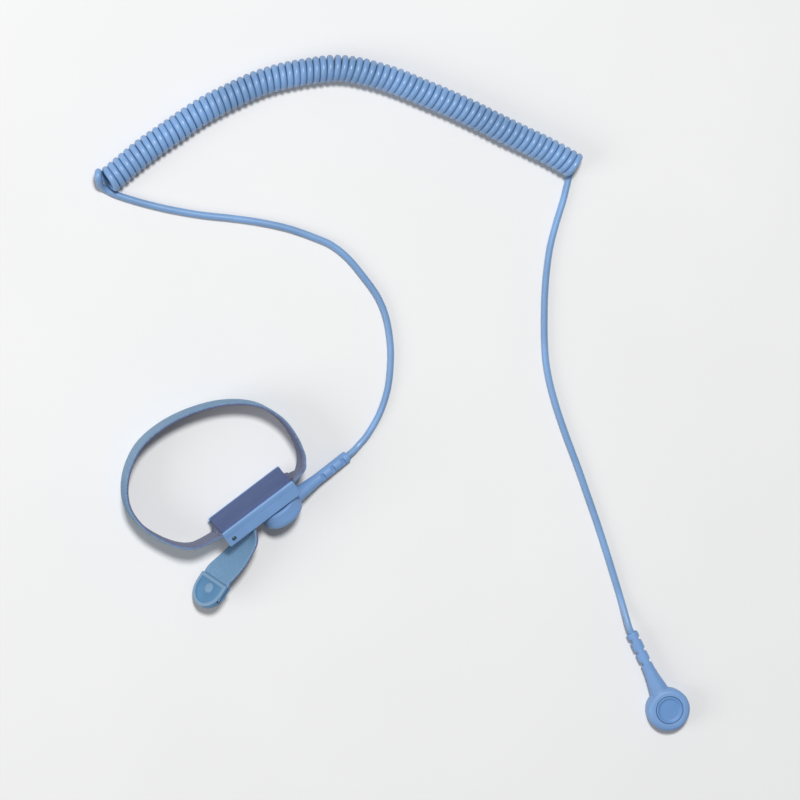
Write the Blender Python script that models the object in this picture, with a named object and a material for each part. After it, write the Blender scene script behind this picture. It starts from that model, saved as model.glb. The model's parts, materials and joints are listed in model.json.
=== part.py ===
"""Anti-static wrist strap: elastic wristband with a clamp buckle, snap plug, curly cord and ground plug.

Lengths are in millimetres, turned into metres by MM. The strap lies ready for use on a flat surface,
z = 0: the band stands on its edge, and the buckle leans out on the rim of the plug snapped to it.
The origin is on the surface, under the middle of the band and its plug.
"""

import math

import bmesh
import bpy
from mathutils import Matrix, Vector

MM = 0.001
FIT = 0.3  # clearance between pieces that touch on the real object
PAST = 1.0  # how far a cutter runs out of what it cuts

# Wristband. The buckle's own axes: x along it, y towards the wrist, z across the band.
BAND_WIDTH = 15.0
BAND_THICK = 1.3
BUCKLE_LENGTH = 34.0
BUCKLE_THICK = 7.0
BUCKLE_WALL = 0.8
BUCKLE_FACE = 1.2
BUCKLE_HEADING = 36.3
BUCKLE_LEAN = 19.0
BUCKLE_AT = (5.7, -0.6, 11.3)
PLATE_THICK = 0.5
CHANNEL_HALF = BAND_WIDTH / 2 + FIT
BUCKLE_HALF = CHANNEL_HALF + BUCKLE_WALL
BLIND_TOP = BUCKLE_HALF - 0.4
BAND_LINE = BUCKLE_THICK / 2 - PLATE_THICK - FIT - BAND_THICK / 2
SLOT_RIGHT = -3.9
SLOT_LEFT = -7.0
PIN_REACH = BUCKLE_HALF - 0.2
STUD_HOLE_RADIUS = 1.3
STUD_SEAT_RADIUS = 3.8
STUD_SEAT_DEPTH = 0.4

# Clamp lever, about its pin.
LATCH_PIN = (-14.0, -1.2)
LATCH_PIN_RADIUS = 0.65
CAM_RADIUS = BAND_LINE - BAND_THICK / 2 - FIT - LATCH_PIN[1]
LEVER_REACH = 6.8
LEVER_HALF = 6.2
LEVER_TOP = LATCH_PIN[1] + BUCKLE_THICK / 2 - 0.1
LEVER_PLATE = 1.0

# Sewn end of the band, round its own pin.
ANCHOR_PIN = (14.2, 0.35)
ANCHOR_PIN_RADIUS = 0.7
WRAP_RADIUS = ANCHOR_PIN_RADIUS + 0.25 + BAND_THICK / 2

# Snap between buckle and plug, and the plug that both cord ends share.
STUD_X = 7.4
STUD_TURN = 9.6
PLUG_OFFSET = BUCKLE_THICK / 2 + 0.9
PLUG_RADIUS = 8.5
PLUG_HEIGHT = 6.9
POCKET_RADIUS = 6.3
POCKET_DEPTH = 4.9
CAP_RADIUS = 5.3
BOOT_LENGTH = 34.0
BOOT_LINE = 3.5
BOOT_HALF = 2.25
BOOT_ROOT = 6.0
WRIST_BOOT_SLOPE = 0.08  # the boot of the worn plug points a little away from the buckle
NOTCH_PLACES = (20.9, 25.9, 30.9)
NOTCH_WIDTH = 1.5
CORE_HALF = 1.3
TUNNEL_WIDE = 1.55
TUNNEL_NARROW = 1.05
TUNNEL_STEP = 19.6

# Cord.
CORD_DIAMETER = 2.6
CORD_LINE = CORD_DIAMETER / 2 + 0.1
COIL_DIAMETER = 10.6
COIL_LINE = COIL_DIAMETER / 2 + 0.1
CORD_STEP = 2.4 * CORD_DIAMETER
GROUND_PLUG_AT = (170.8, -84.7)
GROUND_PLUG_HEADING = 115.7

# Height of the band's lower edge over the floor, at the loop's places counted from either end.
LOOP_LIFT = {0: 2.9, 1: 1.0, 2: 0.2, 3: 0.03}
# Where the loop of the band stands, from its sewn end round to the clamp, in plan.
LOOP_ROUTE = (
    (23.5, 14.0),
    (23.9, 19.4),
    (21.4, 26.0),
    (15.8, 33.2),
    (6.9, 38.3),
    (-5.0, 39.2),
    (-17.5, 36.4),
    (-29.4, 30.8),
    (-38.7, 22.6),
    (-43.5, 11.6),
    (-43.2, 0.8),
    (-37.3, -7.9),
    (-27.2, -14.0),
    (-18.3, -15.4),
)
# The free end of the band past the slot: plan, height and lean from upright, up to its stiff tip.
TAIL_ROUTE = (
    (3.7, -12.5, 8.9, 20),
    (1.2, -17.4, 8.4, 25),
    (-2.5, -22.1, 8.0, 31),
)
TIP_END = (-15.1, -39.1, 7.3)
TIP_HEADING = -123.0
TIP_LEAN = 36.0
TIP_LENGTH = 12.0
TIP_HALF = 7.8
TIP_THICK = 2.9
TIP_GRIP = 7.0
RIVET_X = -7.8
RIVET_RADIUS = 1.2

WRIST_LEAD_ROUTE = (
    (47.9, 21.3, CORD_LINE),
    (51.6, 25.7, CORD_LINE),
    (56.3, 33.9, CORD_LINE),
    (59.4, 43.5, CORD_LINE),
    (60.5, 54.0, CORD_LINE),
    (60.2, 62.3, CORD_LINE),
    (58.5, 71.4, CORD_LINE),
    (55.1, 79.3, CORD_LINE),
    (49.4, 87.2, CORD_LINE),
    (43.7, 93.9, CORD_LINE),
    (37.9, 98.6, CORD_LINE),
    (32.3, 101.3, CORD_LINE),
    (21.2, 105.3, CORD_LINE),
    (9.9, 107.9, CORD_LINE),
    (-1.4, 109.6, CORD_LINE),
    (-12.7, 110.9, CORD_LINE),
    (-24.0, 112.9, CORD_LINE),
    (-33.0, 115.0, CORD_LINE),
    (-41.0, 117.3, CORD_LINE),
    (-46.5, 119.2, CORD_LINE),
    (-49.4, 120.7, CORD_LINE),
    (-51.3, 121.9, 2.6),
    (-52.4, 122.8, 4.4),
    (-53.0, 123.8, 6.1),
)
COIL_ROUTE = (
    (-49.5, 124.3),
    (-36.0, 135.3),
    (-24.7, 143.1),
    (-13.5, 150.5),
    (-2.2, 156.4),
    (9.1, 161.4),
    (20.4, 164.5),
    (31.6, 166.3),
    (39.5, 166.9),
    (48.5, 165.7),
    (59.8, 162.6),
    (71.0, 158.2),
    (88.0, 151.0),
    (104.8, 142.8),
    (121.8, 134.7),
    (132.6, 128.7),
)
GROUND_LEAD_ROUTE = (
    (130.7, 124.1, CORD_LINE),
    (130.3, 122.2, CORD_LINE),
    (129.7, 120.0, CORD_LINE),
    (128.5, 115.3, CORD_LINE),
    (125.7, 106.3, CORD_LINE),
    (123.4, 97.3, CORD_LINE),
    (122.1, 88.2, CORD_LINE),
    (121.4, 79.2, CORD_LINE),
    (121.2, 70.1, CORD_LINE),
    (121.3, 61.1, CORD_LINE),
    (122.0, 52.1, CORD_LINE),
    (123.8, 43.0, CORD_LINE),
    (126.8, 32.8, CORD_LINE),
    (130.6, 22.1, CORD_LINE),
    (134.7, 11.4, CORD_LINE),
    (138.7, 0.1, CORD_LINE),
    (142.7, -11.2, CORD_LINE),
    (146.4, -22.5, CORD_LINE),
    (149.6, -32.7, CORD_LINE),
    (152.3, -41.5, CORD_LINE),
)

TURN_STEPS = 32
SMALL_STEPS = 20


def colour(red, green, blue):
    """Linear colour from the usual 0 to 255 screen values."""
    return tuple(((value / 255 + 0.055) / 1.055) ** 2.4 for value in (red, green, blue)) + (1.0,)


def material(name, rgb, roughness, metallic=0.0):
    made = bpy.data.materials.new(name)
    made.use_nodes = True
    shader = made.node_tree.nodes["Principled BSDF"]
    shader.inputs["Base Color"].default_value = colour(*rgb)
    shader.inputs["Roughness"].default_value = roughness
    shader.inputs["Metallic"].default_value = metallic
    made.diffuse_color = colour(*rgb)
    return made


def clear_scene():
    for obj in list(bpy.data.objects):
        bpy.data.objects.remove(obj, do_unlink=True)


def add_empty(name, place, parent=None):
    empty = bpy.data.objects.new(name, None)
    bpy.context.scene.collection.objects.link(empty)
    if parent:
        empty.parent = parent
        empty.matrix_basis = placing(parent).inverted() @ place
    else:
        empty.matrix_basis = place
    return empty


def placing(obj):
    """World matrix of an empty, worked out from its own and its parents' matrices."""
    if obj.parent:
        return placing(obj.parent) @ obj.matrix_basis
    return obj.matrix_basis.copy()


def add_object(name, data, parent, finish):
    obj = bpy.data.objects.new(name, data)
    bpy.context.scene.collection.objects.link(obj)
    obj.parent = parent
    if finish:
        data.materials.append(finish)
    return obj


def add_mesh(name, bm, parent, finish, smooth_angle=None):
    if bm.calc_volume(signed=True) < 0:
        bmesh.ops.reverse_faces(bm, faces=bm.faces)
    mesh = bpy.data.meshes.new(name)
    bmesh.ops.scale(bm, vec=(MM, MM, MM), verts=bm.verts)
    bm.to_mesh(mesh)
    bm.free()
    if smooth_angle:
        mesh.shade_smooth()
        mesh.set_sharp_from_angle(angle=math.radians(smooth_angle))
    return add_object(name, mesh, parent, finish)


def turned(outline, steps):
    """Solid of revolution about z from (radius, height) points, run from axis to axis or closed."""
    bm = bmesh.new()
    points = [bm.verts.new((radius, 0, height)) for radius, height in outline]
    edges = [bm.edges.new(pair) for pair in zip(points, points[1:])]
    if outline[0][0] > 0:
        edges.append(bm.edges.new((points[-1], points[0])))
    bmesh.ops.spin(
        bm, geom=points + edges, cent=(0, 0, 0), axis=(0, 0, 1), angle=math.tau, steps=steps
    )
    bmesh.ops.remove_doubles(bm, verts=bm.verts, dist=0.001)
    return bm


def box(low, high):
    bm = bmesh.new()
    size = [b - a for a, b in zip(low, high)]
    middle = [(a + b) / 2 for a, b in zip(low, high)]
    bmesh.ops.create_cube(bm, size=1, matrix=Matrix.Translation(middle) @ Matrix.Diagonal((*size, 1)))
    return bm


def rod(start, end, radius, steps=SMALL_STEPS):
    """Round bar between two points."""
    bm = bmesh.new()
    along = Vector(end) - Vector(start)
    turn = Vector((0, 0, 1)).rotation_difference(along).to_matrix().to_4x4()
    place = Matrix.Translation((Vector(start) + Vector(end)) / 2) @ turn
    bmesh.ops.create_cone(
        bm, cap_ends=True, segments=steps, radius1=radius, radius2=radius, depth=along.length, matrix=place
    )
    return bm


def joined(*meshes):
    """Several separate shapes in one mesh, for use as a cutter."""
    whole = bmesh.new()
    for bm in meshes:
        loose = bpy.data.meshes.new("loose")
        bm.to_mesh(loose)
        bm.free()
        whole.from_mesh(loose)
        bpy.data.meshes.remove(loose)
    return whole


def loft(rings):
    """Closed skin over rings with the same number of points."""
    bm = bmesh.new()
    made = [[bm.verts.new(point) for point in ring] for ring in rings]
    count = len(made[0])
    for ring, following in zip(made, made[1:]):
        for i in range(count):
            bm.faces.new((ring[i], ring[(i + 1) % count], following[(i + 1) % count], following[i]))
    bm.faces.new(made[0][::-1])
    bm.faces.new(made[-1])
    return bm


def prism(outline, low, high):
    """Outline in x and y, extruded along z."""
    return loft([[(x, y, height) for x, y in outline] for height in (low, high)])


def boolean(obj, other, operation="DIFFERENCE"):
    change = obj.modifiers.new(operation.lower(), "BOOLEAN")
    change.operation = operation
    change.object = other
    other.hide_render = True
    other.display_type = "WIRE"


def cut(obj, bm, name):
    """Takes a helper shape, given in the object's own axes, out of it."""
    boolean(obj, add_mesh(name, bm, obj.parent, None))


def through(points, per_span=24):
    """Smooth curve through points of any dimension, as closely spaced points."""
    ends = [points[0] * 2 - points[1], *points, points[-1] * 2 - points[-2]]
    curve = []
    for before, start, end, after in zip(ends, ends[1:], ends[2:], ends[3:]):
        for step in range(per_span):
            t = step / per_span
            curve.append(
                (
                    start * 2
                    + (end - before) * t
                    + (before * 2 - start * 5 + end * 4 - after) * t**2
                    + (start * 3 - before - end * 3 + after) * t**3
                )
                / 2
            )
    curve.append(points[-1])
    return curve


def evenly(curve, spacing):
    """Points at one spacing along a closely spaced curve, with both of its ends."""
    lengths = [0.0]
    for a, b in zip(curve, curve[1:]):
        lengths.append(lengths[-1] + (b - a).length)
    count = max(1, round(lengths[-1] / spacing))
    points = []
    place = 0
    for step in range(count + 1):
        wanted = lengths[-1] * step / count
        while place < len(curve) - 2 and lengths[place + 1] < wanted:
            place += 1
        part = (wanted - lengths[place]) / (lengths[place + 1] - lengths[place])
        points.append(curve[place].lerp(curve[place + 1], part))
    return points


def tube(name, points, diameter, parent, finish, resolution):
    data = bpy.data.curves.new(name, "CURVE")
    data.dimensions = "3D"
    data.bevel_depth = diameter / 2 * MM
    data.bevel_resolution = resolution
    data.use_fill_caps = True
    spline = data.splines.new("POLY")
    spline.points.add(len(points) - 1)
    for point, place in zip(spline.points, points):
        point.co = (*(Vector(place) * MM), 1)
    return add_object(name, data, parent, finish)


def scaled(matrix):
    """The same placing with its shift in metres."""
    made = matrix.copy()
    made.translation = matrix.translation * MM
    return made


# Placings, in millimetres.
BUCKLE = (
    Matrix.Translation(BUCKLE_AT)
    @ Matrix.Rotation(math.radians(BUCKLE_HEADING), 4, "Z")
    @ Matrix.Rotation(math.radians(BUCKLE_LEAN), 4, "X")
)
SNAP = BUCKLE @ Matrix.Translation((STUD_X, 0, 0)) @ Matrix.Rotation(math.radians(90), 4, "X")
LATCH = BUCKLE @ Matrix.Translation((*LATCH_PIN, 0))
WRIST_PLUG = (
    SNAP @ Matrix.Translation((0, 0, PLUG_OFFSET)) @ Matrix.Rotation(math.radians(-STUD_TURN), 4, "Z")
)
TIP = (
    Matrix.Translation(TIP_END)
    @ Matrix.Rotation(math.radians(TIP_HEADING), 4, "Z")
    @ Matrix.Rotation(math.radians(-TIP_LEAN), 4, "X")
)
GROUND_PLUG = (
    Matrix.Translation((*GROUND_PLUG_AT, 0)) @ Matrix.Rotation(math.radians(GROUND_PLUG_HEADING), 4, "Z")
)


def band_stations():
    """Middle line of the band, as positions and the direction across it, from its sewn end to its tip.

    The band leans with the buckle at its pin and its clamp, and stands upright just outside either end.
    """
    upright = Vector((0, 0, 1))
    leaning = BUCKLE.to_3x3() @ upright
    stations = []

    def inside(x, y, raised=0.0):
        stations.append((BUCKLE @ Vector((x, y, 0)), leaning.lerp(upright, raised)))

    inside(15.6, ANCHOR_PIN[1] - WRAP_RADIUS)
    for step in range(5):
        angle = math.radians(-90 - 45 * step)
        inside(
            ANCHOR_PIN[0] + WRAP_RADIUS * math.cos(angle), ANCHOR_PIN[1] + WRAP_RADIUS * math.sin(angle)
        )
    inside(15.7, 1.5, 0.25)
    inside(17.2, 0.65, 0.6)
    inside(19.2, 0.45, 0.95)
    last = len(LOOP_ROUTE) - 1
    for step, (x, y) in enumerate(LOOP_ROUTE):
        lift = LOOP_LIFT.get(min(step, last - step), 0)
        stations.append((Vector((x, y, BAND_WIDTH / 2 + lift)), upright))
    inside(-19.2, 0.45, 0.95)
    inside(-17.6, 0.9, 0.55)
    inside(-16.2, 1.85, 0.08)
    for x, y in (
        (-14.2, BAND_LINE),
        (-11.8, BAND_LINE),
        (-9.6, BAND_LINE - 0.2),
        (-7.2, 0.6),
        (-5.7, -1.4),
        (-5.3, -3.3),
    ):
        inside(x, y)
    plan = [Vector((x, y)) for x, y, _, _ in TAIL_ROUTE]
    plan.append((TIP @ Vector((-TIP_LENGTH, 0, 0))).xy)
    for step, (x, y, height, lean) in enumerate(TAIL_ROUTE):
        heading = (plan[step + 1] - plan[max(step - 1, 0)]).normalized()
        outwards = Vector((-heading.y, heading.x, 0))
        angle = math.radians(lean)
        stations.append((Vector((x, y, height)), upright * math.cos(angle) + outwards * math.sin(angle)))
    for step in range(5):
        back = TIP_LENGTH + 2.4 - (TIP_GRIP + 2.4) * step / 4
        stations.append((TIP @ Vector((-back, 0, 0)), TIP.to_3x3() @ upright))
    return stations


def ribbon(stations, longest=4.0, sharpest=9.0):
    """Band with a square-edged section, swept along its stations with rings closer where it bends."""
    curve = through([place for place, _ in stations])
    across = [direction for _, direction in stations]
    sides = []
    for a, b in zip(across, across[1:]):
        sides += [a.lerp(b, step / 24) for step in range(24)]
    sides.append(across[-1])
    kept = [0]
    run = turn = 0.0
    for i in range(1, len(curve) - 1):
        before, after = curve[i] - curve[i - 1], curve[i + 1] - curve[i]
        run += before.length
        turn += math.degrees(before.angle(after) + sides[i].angle(sides[i + 1]))
        if run > longest or turn > sharpest:
            kept.append(i)
            run = turn = 0.0
    kept.append(len(curve) - 1)
    rings = []
    for i in kept:
        along = (curve[min(i + 1, len(curve) - 1)] - curve[max(i - 1, 0)]).normalized()
        side = (sides[i] - along * sides[i].dot(along)).normalized() * BAND_WIDTH / 2
        out = along.cross(side).normalized() * BAND_THICK / 2
        rings.append([curve[i] + side + out, curve[i] - side + out, curve[i] - side - out, curve[i] + side - out])
    return loft(rings)


def make_band(parent, parts):
    bm = ribbon(band_stations())
    bm.transform(BUCKLE.inverted())
    band = add_mesh("wrist_band", bm, parent, parts["webbing"])
    hole = rod((RIVET_X, -3, 0), (RIVET_X, 3, 0), RIVET_RADIUS + FIT)
    hole.transform(BUCKLE.inverted() @ TIP)
    cut(band, hole, "band_rivet_hole")

    holder = add_empty("band_end", scaled(TIP), parent)
    slot = BAND_THICK / 2 + FIT
    outline = [(-TIP_LENGTH, -TIP_HALF)]
    outline += [
        (TIP_HALF * (math.cos(a) - 1), TIP_HALF * math.sin(a))
        for a in (math.radians(-90 + 15 * step) for step in range(13))
    ]
    outline.append((-TIP_LENGTH, TIP_HALF))
    shape = prism(outline, -TIP_THICK / 2, TIP_THICK / 2)
    shape.transform(Matrix.Rotation(math.radians(90), 4, "X"))
    moulded = add_mesh("band_end_tip", shape, holder, parts["trim"])
    grip = -TIP_LENGTH + TIP_GRIP + FIT
    cut(moulded, box((-TIP_LENGTH - 1, -slot, -9), (grip, slot, 9)), "tip_slot")
    cut(moulded, rod((RIVET_X, -3, 0), (RIVET_X, 3, 0), RIVET_RADIUS + FIT), "tip_hole")
    reach = TIP_THICK / 2 + FIT
    rivet = turned(
        [
            (0, -reach - 0.5),
            (1.9, -reach - 0.5),
            (2.5, -reach - 0.2),
            (2.5, -reach),
            (RIVET_RADIUS, -reach),
            (RIVET_RADIUS, reach),
            (2.5, reach),
            (2.5, reach + 0.2),
            (1.9, reach + 0.5),
            (0, reach + 0.5),
        ],
        16,
    )
    rivet.transform(Matrix.Translation((RIVET_X, 0, 0)) @ Matrix.Rotation(math.radians(90), 4, "X"))
    add_mesh("end_tip_rivet", rivet, holder, parts["trim"], 40)


def make_buckle(parent, snap, parts):
    half, deep = BUCKLE_LENGTH / 2, BUCKLE_THICK / 2
    face = -deep + BUCKLE_FACE
    housing = add_mesh(
        "buckle_housing",
        box((-half, -deep, -BUCKLE_HALF), (half, deep, BUCKLE_HALF)),
        parent,
        parts["plastic"],
    )
    edges = housing.modifiers.new("edges", "BEVEL")
    edges.width = 0.7 * MM
    edges.segments = 2
    window = LEVER_HALF + FIT
    for name, low, high in (
        ("channel", (-half - PAST, face, -CHANNEL_HALF), (half + PAST, deep + PAST, CHANNEL_HALF)),
        ("lever_window", (-half - PAST, -deep - PAST, -window), (SLOT_LEFT, face + PAST, window)),
        ("band_slot", (SLOT_LEFT - 0.01, -deep - PAST, -CHANNEL_HALF), (SLOT_RIGHT, face + PAST, CHANNEL_HALF)),
    ):
        cut(housing, box(low, high), name)
    for name, (x, y), radius, bore_top, pin_top in (
        ("latch_pin", LATCH_PIN, LATCH_PIN_RADIUS, BUCKLE_HALF + PAST, PIN_REACH),
        ("band_anchor_pin", ANCHOR_PIN, ANCHOR_PIN_RADIUS, BLIND_TOP, BLIND_TOP - 0.5),
    ):
        cut(housing, rod((x, y, -BUCKLE_HALF - PAST), (x, y, bore_top), radius + FIT), name + "_hole")
        add_mesh(name, rod((x, y, -PIN_REACH), (x, y, pin_top), radius), parent, parts["steel"], 40)
    outside = (STUD_X, -deep - PAST, 0)
    cut(housing, rod(outside, (STUD_X, face + PAST, 0), STUD_HOLE_RADIUS), "stud_hole")
    seat = rod(outside, (STUD_X, -deep + STUD_SEAT_DEPTH, 0), STUD_SEAT_RADIUS, TURN_STEPS)
    cut(housing, seat, "stud_seat")

    plate_half = CHANNEL_HALF - FIT
    plate = box((-half + 0.4, deep - PLATE_THICK, -plate_half), (half - 0.4, deep, plate_half))
    add_mesh("back_plate", plate, parent, parts["plate"])

    stud = turned(
        [
            (0, 7.2),
            (0.9, 7.0),
            (0.9, 3.4),
            (3.5, 3.4),
            (3.5, 3.9),
            (1.6, 4.2),
            (1.5, 6.1),
            (2.0, 6.7),
            (2.0, 7.3),
            (1.4, 8.0),
            (0, 8.2),
        ],
        SMALL_STEPS,
    )
    add_mesh("snap_stud", stud, snap, parts["nickel"], 40)
    rivet = turned([(0, 0.9), (1.9, 0.9), (2.2, 1.1), (2.2, 1.4), (0.6, 1.4), (0.6, 6.6), (0, 6.6)], 16)
    add_mesh("stud_rivet", rivet, snap, parts["nickel"], 40)
    washer = turned([(0.9, 1.7), (2.9, 1.7), (2.9, 2.0), (0.9, 2.0)], 16)
    add_mesh("contact_washer", washer, snap, parts["nickel"], 40)


def make_latch(parent, parts):
    """Lever that lies flat in the buckle's face, with a toothed cam under its pin."""
    outer, inner = -LEVER_TOP, -LEVER_TOP + LEVER_PLATE
    outline = [(LEVER_REACH, outer + 0.3), (LEVER_REACH, inner)]
    start = math.degrees(math.asin(inner / CAM_RADIUS))
    teeth = 12
    for step in range(teeth + 1):
        angle = math.radians(start + (185 - start) * step / teeth)
        radius = CAM_RADIUS - (0.3 if step % 2 and 3 < step < 11 else 0)
        outline.append((radius * math.cos(angle), radius * math.sin(angle)))
    # The heel keeps to the cam's radius, so it clears the band as the lever opens.
    for angle in map(math.radians, (200, 215, 230, 244)):
        outline.append((CAM_RADIUS * math.cos(angle), CAM_RADIUS * math.sin(angle)))
    outline.append((-0.6, outer))
    ridges = 3
    for step in range(ridges):
        x = LEVER_REACH - 3.3 + 0.9 * step
        outline += [(x, outer), (x + 0.2, outer - 0.2), (x + 0.5, outer - 0.2), (x + 0.7, outer)]
    outline.append((LEVER_REACH - 0.3, outer))
    lever = add_mesh("latch_lever", prism(outline, -LEVER_HALF, LEVER_HALF), parent, parts["trim"])
    cut(lever, rod((0, 0, -9), (0, 0, 9), LATCH_PIN_RADIUS + FIT), "lever_bore")


def sloped(bm, slope):
    """Leans a neck, or what lies inside it, away from the plug's open face along its length."""
    for vert in bm.verts:
        vert.co.z += slope * (vert.co.x - BOOT_ROOT)
    return bm


def plug_body(name, parent, finish, slope=0.0):
    """Round head with a socket pocket below and a cap seat above, and a neck that ends in a notched boot."""
    head = turned(
        [
            (0, POCKET_DEPTH),
            (POCKET_RADIUS, POCKET_DEPTH),
            (POCKET_RADIUS, 0),
            (PLUG_RADIUS - 0.6, 0),
            (PLUG_RADIUS, 0.7),
            (PLUG_RADIUS, PLUG_HEIGHT - 1.7),
            (PLUG_RADIUS - 0.3, PLUG_HEIGHT - 0.7),
            (PLUG_RADIUS - 1.0, PLUG_HEIGHT - 0.15),
            (PLUG_RADIUS - 1.8, PLUG_HEIGHT),
            (CAP_RADIUS + FIT, PLUG_HEIGHT),
            (CAP_RADIUS + FIT, POCKET_DEPTH + 0.7),
            (0, POCKET_DEPTH + 0.7),
        ],
        TURN_STEPS,
    )
    body = add_mesh(name, head, parent, finish, 35)
    sides = 16
    angles = [math.tau * (step + 0.5) / sides for step in range(sides)]
    rings = [
        [(x, wide * math.cos(a), BOOT_LINE + high * math.sin(a)) for a in angles]
        for x, wide, high in (
            (7.0, 3.75, 2.9),
            (9.0, 3.6, 2.8),
            (12.5, 3.0, 2.6),
            (16.0, 2.45, 2.4),
            (19.0, BOOT_HALF, BOOT_HALF),
            (BOOT_LENGTH, BOOT_HALF, BOOT_HALF),
        )
    ]
    neck = add_mesh(name + "_neck", sloped(loft(rings), slope), parent, None, 35)
    boolean(body, neck, "UNION")
    notches = [
        box((x - NOTCH_WIDTH / 2, min(y, y * 4), -1), (x + NOTCH_WIDTH / 2, max(y, y * 4), 11))
        for x in NOTCH_PLACES
        for y in (CORE_HALF, -CORE_HALF)
    ]
    cut(body, joined(*notches), name + "_notches")
    wide = rod((POCKET_RADIUS - 1, 0, BOOT_LINE), (TUNNEL_STEP, 0, BOOT_LINE), TUNNEL_WIDE, 12)
    cut(body, sloped(wide, slope), name + "_tunnel")
    narrow = rod(
        (TUNNEL_STEP - 0.5, 0, BOOT_LINE), (BOOT_LENGTH + 1, 0, BOOT_LINE), TUNNEL_NARROW, 12
    )
    cut(body, sloped(narrow, slope), name + "_bore")


def plug_cap(name, parent, finish):
    floor = POCKET_DEPTH + 0.7 + FIT
    outline = [
        (0, floor),
        (CAP_RADIUS, floor),
        (CAP_RADIUS, PLUG_HEIGHT - 0.3),
        (CAP_RADIUS - 0.4, PLUG_HEIGHT - 0.1),
        (CAP_RADIUS - 1.2, PLUG_HEIGHT - 0.3),
        (0, PLUG_HEIGHT - 0.35),
    ]
    add_mesh(name, turned(outline, TURN_STEPS), parent, finish, 35)


def snap_ring(name, radius, wire, height, parent, finish):
    """Open ring of spring wire that grips the stud's neck."""
    steps, gap = 18, 40
    points = []
    for step in range(steps + 1):
        angle = math.radians(180 + gap / 2 + (360 - gap) * step / steps)
        points.append((radius * math.cos(angle), radius * math.sin(angle), height))
    tube(name, points, wire, parent, finish, 1)


def inner_rod(name, start, end, radius, slope, parent, finish):
    bar = rod((start, 0, BOOT_LINE), (end, 0, BOOT_LINE), radius, 12)
    add_mesh(name, sloped(bar, slope), parent, finish, 40)


def make_wrist_plug(parent, snap, parts):
    plug_body("wrist_plug_body", parent, parts["plastic"], WRIST_BOOT_SLOPE)
    plug_cap("wrist_plug_cap", parent, parts["plastic"])
    socket = turned(
        [
            (0, 4.3),
            (3.3, 4.3),
            (3.3, 1.1),
            (2.7, 1.1),
            (2.7, 0.7),
            (6.0, 0.7),
            (6.0, 1.1),
            (3.7, 1.1),
            (3.7, 4.6),
            (0, 4.6),
        ],
        24,
    )
    add_mesh("wrist_snap_socket", socket, parent, parts["nickel"], 40)
    snap_ring("wrist_snap_spring", 2.6, 0.5, PLUG_OFFSET + 1.9, snap, parts["steel"])
    add_mesh(
        "wrist_socket_terminal",
        box((4.0, -0.9, BOOT_LINE - 0.2), (6.6, 0.9, BOOT_LINE + 0.2)),
        parent,
        parts["nickel"],
    )
    inside = (
        ("resistor_lead_inner", 6.9, 7.9, 0.35, "nickel"),
        ("resistor", 8.2, 14.5, 1.2, "resistor"),
        ("resistor_lead_outer", 14.8, 16.0, 0.35, "nickel"),
        ("wrist_wire_crimp", 16.3, 19.2, 1.0, "nickel"),
        ("wrist_conductor", 19.5, BOOT_LENGTH - 0.2, 0.7, "copper"),
    )
    for name, start, end, radius, finish in inside:
        inner_rod(name, start, end, radius, WRIST_BOOT_SLOPE, parent, parts[finish])


def make_ground_plug(parent, parts):
    plug_body("ground_plug_body", parent, parts["plastic"])
    plug_cap("ground_plug_cap", parent, parts["plastic"])
    socket = turned(
        [
            (0, 4.3),
            (5.05, 4.3),
            (5.05, 0.5),
            (6.0, 0.5),
            (6.0, 0.9),
            (5.5, 0.9),
            (5.5, 4.6),
            (0, 4.6),
        ],
        24,
    )
    add_mesh("ground_snap_socket", socket, parent, parts["nickel"], 40)
    snap_ring("ground_snap_spring", 4.45, 0.5, 1.8, parent, parts["steel"])
    add_mesh(
        "ground_socket_terminal",
        box((5.8, -0.9, BOOT_LINE - 0.2), (9.0, 0.9, BOOT_LINE + 0.2)),
        parent,
        parts["nickel"],
    )
    inner_rod("ground_wire_crimp", 9.3, 13.0, 1.0, 0.0, parent, parts["nickel"])
    inner_rod("ground_conductor", 13.3, BOOT_LENGTH - 0.2, 0.7, 0.0, parent, parts["copper"])


def make_cord(parent, parts):
    """Straight leads and the outer shape of the curly stretch between them."""
    leads = (
        ("cord_lead_wrist", WRIST_PLUG, WRIST_BOOT_SLOPE, WRIST_LEAD_ROUTE),
        ("cord_lead_ground", GROUND_PLUG, 0.0, GROUND_LEAD_ROUTE[::-1]),
    )
    for name, plug, slope, route in leads:
        end = Vector((BOOT_LENGTH, 0, BOOT_LINE + slope * (BOOT_LENGTH - BOOT_ROOT)))
        along = Vector((1, 0, slope)).normalized()
        exits = [plug @ (end + along * off) for off in (FIT, CORD_DIAMETER)]
        exits[1].z = max(exits[1].z, CORD_LINE)
        points = exits + [Vector(point) for point in route]
        tube(name, evenly(through(points), CORD_STEP), CORD_DIAMETER, parent, parts["cord"], 2)
    middle = [Vector((x, y, COIL_LINE)) for x, y in COIL_ROUTE]
    tube("cord_coil", evenly(through(middle), COIL_DIAMETER), COIL_DIAMETER, parent, parts["cord"], 4)


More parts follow.
